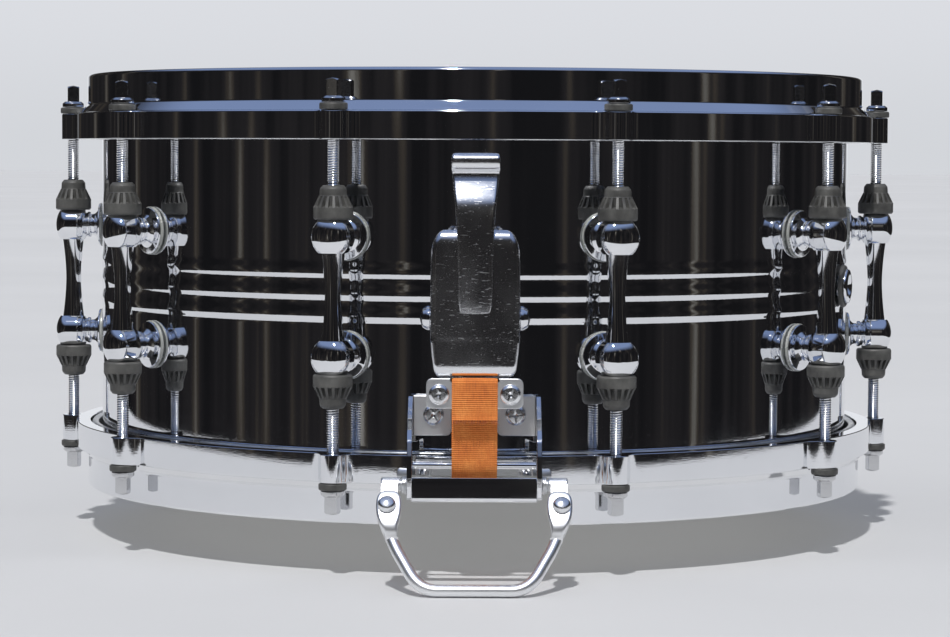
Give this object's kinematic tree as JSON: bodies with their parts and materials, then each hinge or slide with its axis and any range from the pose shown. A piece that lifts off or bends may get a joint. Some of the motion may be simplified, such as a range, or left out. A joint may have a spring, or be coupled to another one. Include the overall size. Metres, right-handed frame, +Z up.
{
  "type": "snare drum",
  "caption": "Metal-shell snare drum with cast hoops, double-post lugs, throw-off strainer, strap-hung snare wires and two fold-away bail feet.",
  "frame": {"origin": "on the drum's axis, at the table the bails stand on", "axes": "+Z up along the drum's axis, -Y towards the strainer, +X to the right seen from the strainer's side"},
  "size_m": [0.4026, 0.4772, 0.2154],
  "materials": {
    "shell_chrome": "mirror chrome plate on a metal shell",
    "hoop_chrome": "mirror chrome plate on a casting",
    "lug_chrome": "mirror chrome plate",
    "fitting_chrome": "chrome plate with fine scratches",
    "rod_steel": "plated steel thread",
    "bare_steel": "plated steel, satin",
    "coated_film": "white coated polyester film",
    "clear_film": "hazy thin polyester film",
    "black_rubber": "matt black",
    "strap_ribbon": "orange-brown grosgrain ribbon, cross ribbed"
  },
  "bodies": {
    "root": {"shell": "shell_chrome", "top_hoop": "hoop_chrome", "bottom_hoop": "hoop_chrome", "batter_head": "coated_film", "snare_head": "clear_film", "batter_flesh_hoop": "bare_steel", "snare_flesh_hoop": "bare_steel", "lug_01": "lug_chrome", "lug_02": "lug_chrome", "lug_03": "lug_chrome", "lug_04": "lug_chrome", "lug_05": "lug_chrome", "lug_06": "lug_chrome", "lug_07": "lug_chrome", "lug_08": "lug_chrome", "lug_09": "lug_chrome", "lug_10": "lug_chrome", "air_vent": "fitting_chrome", "vent_gasket": "black_rubber", "strainer_base": "fitting_chrome", "lever_pin": "fitting_chrome", "front_bracket": "fitting_chrome", "rear_bracket": "fitting_chrome", "butt_block": "fitting_chrome", "butt_clamp_plate": "fitting_chrome", "rear_strap": "strap_ribbon"},
    "throw_off_lever": {"throw_off_lever": "fitting_chrome"},
    "strap_carriage": {"strap_carriage": "bare_steel", "strap_clamp_plate": "fitting_chrome", "front_strap": "strap_ribbon"},
    "snare_wires": {"snare_wires": "bare_steel"},
    "front_bail": {"front_bail": "fitting_chrome", "front_pivot_right": "fitting_chrome", "front_pivot_left": "fitting_chrome"},
    "rear_bail": {"rear_bail": "fitting_chrome", "rear_pivot_right": "fitting_chrome", "rear_pivot_left": "fitting_chrome"},
    "upper_tension_rod_01": {"upper_tension_rod_01": "rod_steel"},
    "upper_tension_rod_02": {"upper_tension_rod_02": "rod_steel"},
    "upper_tension_rod_03": {"upper_tension_rod_03": "rod_steel"},
    "upper_tension_rod_04": {"upper_tension_rod_04": "rod_steel"},
    "upper_tension_rod_05": {"upper_tension_rod_05": "rod_steel"},
    "upper_tension_rod_06": {"upper_tension_rod_06": "rod_steel"},
    "upper_tension_rod_07": {"upper_tension_rod_07": "rod_steel"},
    "upper_tension_rod_08": {"upper_tension_rod_08": "rod_steel"},
    "upper_tension_rod_09": {"upper_tension_rod_09": "rod_steel"},
    "upper_tension_rod_10": {"upper_tension_rod_10": "rod_steel"},
    "lower_tension_rod_01": {"lower_tension_rod_01": "rod_steel"},
    "lower_tension_rod_02": {"lower_tension_rod_02": "rod_steel"},
    "lower_tension_rod_03": {"lower_tension_rod_03": "rod_steel"},
    "lower_tension_rod_04": {"lower_tension_rod_04": "rod_steel"},
    "lower_tension_rod_05": {"lower_tension_rod_05": "rod_steel"},
    "lower_tension_rod_06": {"lower_tension_rod_06": "rod_steel"},
    "lower_tension_rod_07": {"lower_tension_rod_07": "rod_steel"},
    "lower_tension_rod_08": {"lower_tension_rod_08": "rod_steel"},
    "lower_tension_rod_09": {"lower_tension_rod_09": "rod_steel"},
    "lower_tension_rod_10": {"lower_tension_rod_10": "rod_steel"}
  },
  "joints": [
    {"name": "throw_off", "type": "hinge", "parent": "root", "child": "throw_off_lever", "pos_m": [0, -0.204, 0.1113], "axis": [1, 0, 0], "range_deg": [0, 55]},
    {"name": "carriage_drop", "type": "slide", "parent": "root", "child": "strap_carriage", "axis": [0, 0, -1], "range_m": [0, 0.006]},
    {"name": "snare_lag", "type": "slide", "parent": "strap_carriage", "child": "snare_wires", "axis": [0, 0, 1], "range_m": [0, 0.0035]},
    {"name": "front_bail_fold", "type": "hinge", "parent": "root", "child": "front_bail", "pos_m": [0, -0.2055, 0.0421], "axis": [1, 0, 0], "range_deg": [0, 72]},
    {"name": "rear_bail_fold", "type": "hinge", "parent": "root", "child": "rear_bail", "pos_m": [0, 0.2055, 0.0421], "axis": [-1, 0, 0], "range_deg": [0, 72]},
    {"name": "upper_tension_rod_01_turn", "type": "hinge", "parent": "root", "child": "upper_tension_rod_01", "pos_m": [0.05964, -0.18355, 0.1187], "axis": [0, 0, 1], "continuous": true},
    {"name": "upper_tension_rod_02_turn", "type": "hinge", "parent": "root", "child": "upper_tension_rod_02", "pos_m": [0.15614, -0.11344, 0.1187], "axis": [0, 0, 1], "continuous": true},
    {"name": "upper_tension_rod_03_turn", "type": "hinge", "parent": "root", "child": "upper_tension_rod_03", "pos_m": [0.193, 0, 0.1187], "axis": [0, 0, 1], "continuous": true},
    {"name": "upper_tension_rod_04_turn", "type": "hinge", "parent": "root", "child": "upper_tension_rod_04", "pos_m": [0.15614, 0.11344, 0.1187], "axis": [0, 0, 1], "continuous": true},
    {"name": "upper_tension_rod_05_turn", "type": "hinge", "parent": "root", "child": "upper_tension_rod_05", "pos_m": [0.05964, 0.18355, 0.1187], "axis": [0, 0, 1], "continuous": true},
    {"name": "upper_tension_rod_06_turn", "type": "hinge", "parent": "root", "child": "upper_tension_rod_06", "pos_m": [-0.05964, 0.18355, 0.1187], "axis": [0, 0, 1], "continuous": true},
    {"name": "upper_tension_rod_07_turn", "type": "hinge", "parent": "root", "child": "upper_tension_rod_07", "pos_m": [-0.15614, 0.11344, 0.1187], "axis": [0, 0, 1], "continuous": true},
    {"name": "upper_tension_rod_08_turn", "type": "hinge", "parent": "root", "child": "upper_tension_rod_08", "pos_m": [-0.193, 0, 0.1187], "axis": [0, 0, 1], "continuous": true},
    {"name": "upper_tension_rod_09_turn", "type": "hinge", "parent": "root", "child": "upper_tension_rod_09", "pos_m": [-0.15614, -0.11344, 0.1187], "axis": [0, 0, 1], "continuous": true},
    {"name": "upper_tension_rod_10_turn", "type": "hinge", "parent": "root", "child": "upper_tension_rod_10", "pos_m": [-0.05964, -0.18355, 0.1187], "axis": [0, 0, 1], "continuous": true},
    {"name": "lower_tension_rod_01_turn", "type": "hinge", "parent": "root", "child": "lower_tension_rod_01", "pos_m": [0.05964, -0.18355, 0.1187], "axis": [0, 0, 1], "continuous": true},
    {"name": "lower_tension_rod_02_turn", "type": "hinge", "parent": "root", "child": "lower_tension_rod_02", "pos_m": [0.15614, -0.11344, 0.1187], "axis": [0, 0, 1], "continuous": true},
    {"name": "lower_tension_rod_03_turn", "type": "hinge", "parent": "root", "child": "lower_tension_rod_03", "pos_m": [0.193, 0, 0.1187], "axis": [0, 0, 1], "continuous": true},
    {"name": "lower_tension_rod_04_turn", "type": "hinge", "parent": "root", "child": "lower_tension_rod_04", "pos_m": [0.15614, 0.11344, 0.1187], "axis": [0, 0, 1], "continuous": true},
    {"name": "lower_tension_rod_05_turn", "type": "hinge", "parent": "root", "child": "lower_tension_rod_05", "pos_m": [0.05964, 0.18355, 0.1187], "axis": [0, 0, 1], "continuous": true},
    {"name": "lower_tension_rod_06_turn", "type": "hinge", "parent": "root", "child": "lower_tension_rod_06", "pos_m": [-0.05964, 0.18355, 0.1187], "axis": [0, 0, 1], "continuous": true},
    {"name": "lower_tension_rod_07_turn", "type": "hinge", "parent": "root", "child": "lower_tension_rod_07", "pos_m": [-0.15614, 0.11344, 0.1187], "axis": [0, 0, 1], "continuous": true},
    {"name": "lower_tension_rod_08_turn", "type": "hinge", "parent": "root", "child": "lower_tension_rod_08", "pos_m": [-0.193, 0, 0.1187], "axis": [0, 0, 1], "continuous": true},
    {"name": "lower_tension_rod_09_turn", "type": "hinge", "parent": "root", "child": "lower_tension_rod_09", "pos_m": [-0.15614, -0.11344, 0.1187], "axis": [0, 0, 1], "continuous": true},
    {"name": "lower_tension_rod_10_turn", "type": "hinge", "parent": "root", "child": "lower_tension_rod_10", "pos_m": [-0.05964, -0.18355, 0.1187], "axis": [0, 0, 1], "continuous": true}
  ],
  "couplings": [
    {"joint": "carriage_drop", "follows": "throw_off", "m_per_rad": 0.0062},
    {"joint": "snare_lag", "follows": "throw_off", "m_per_rad": 0.0036}
  ]
}
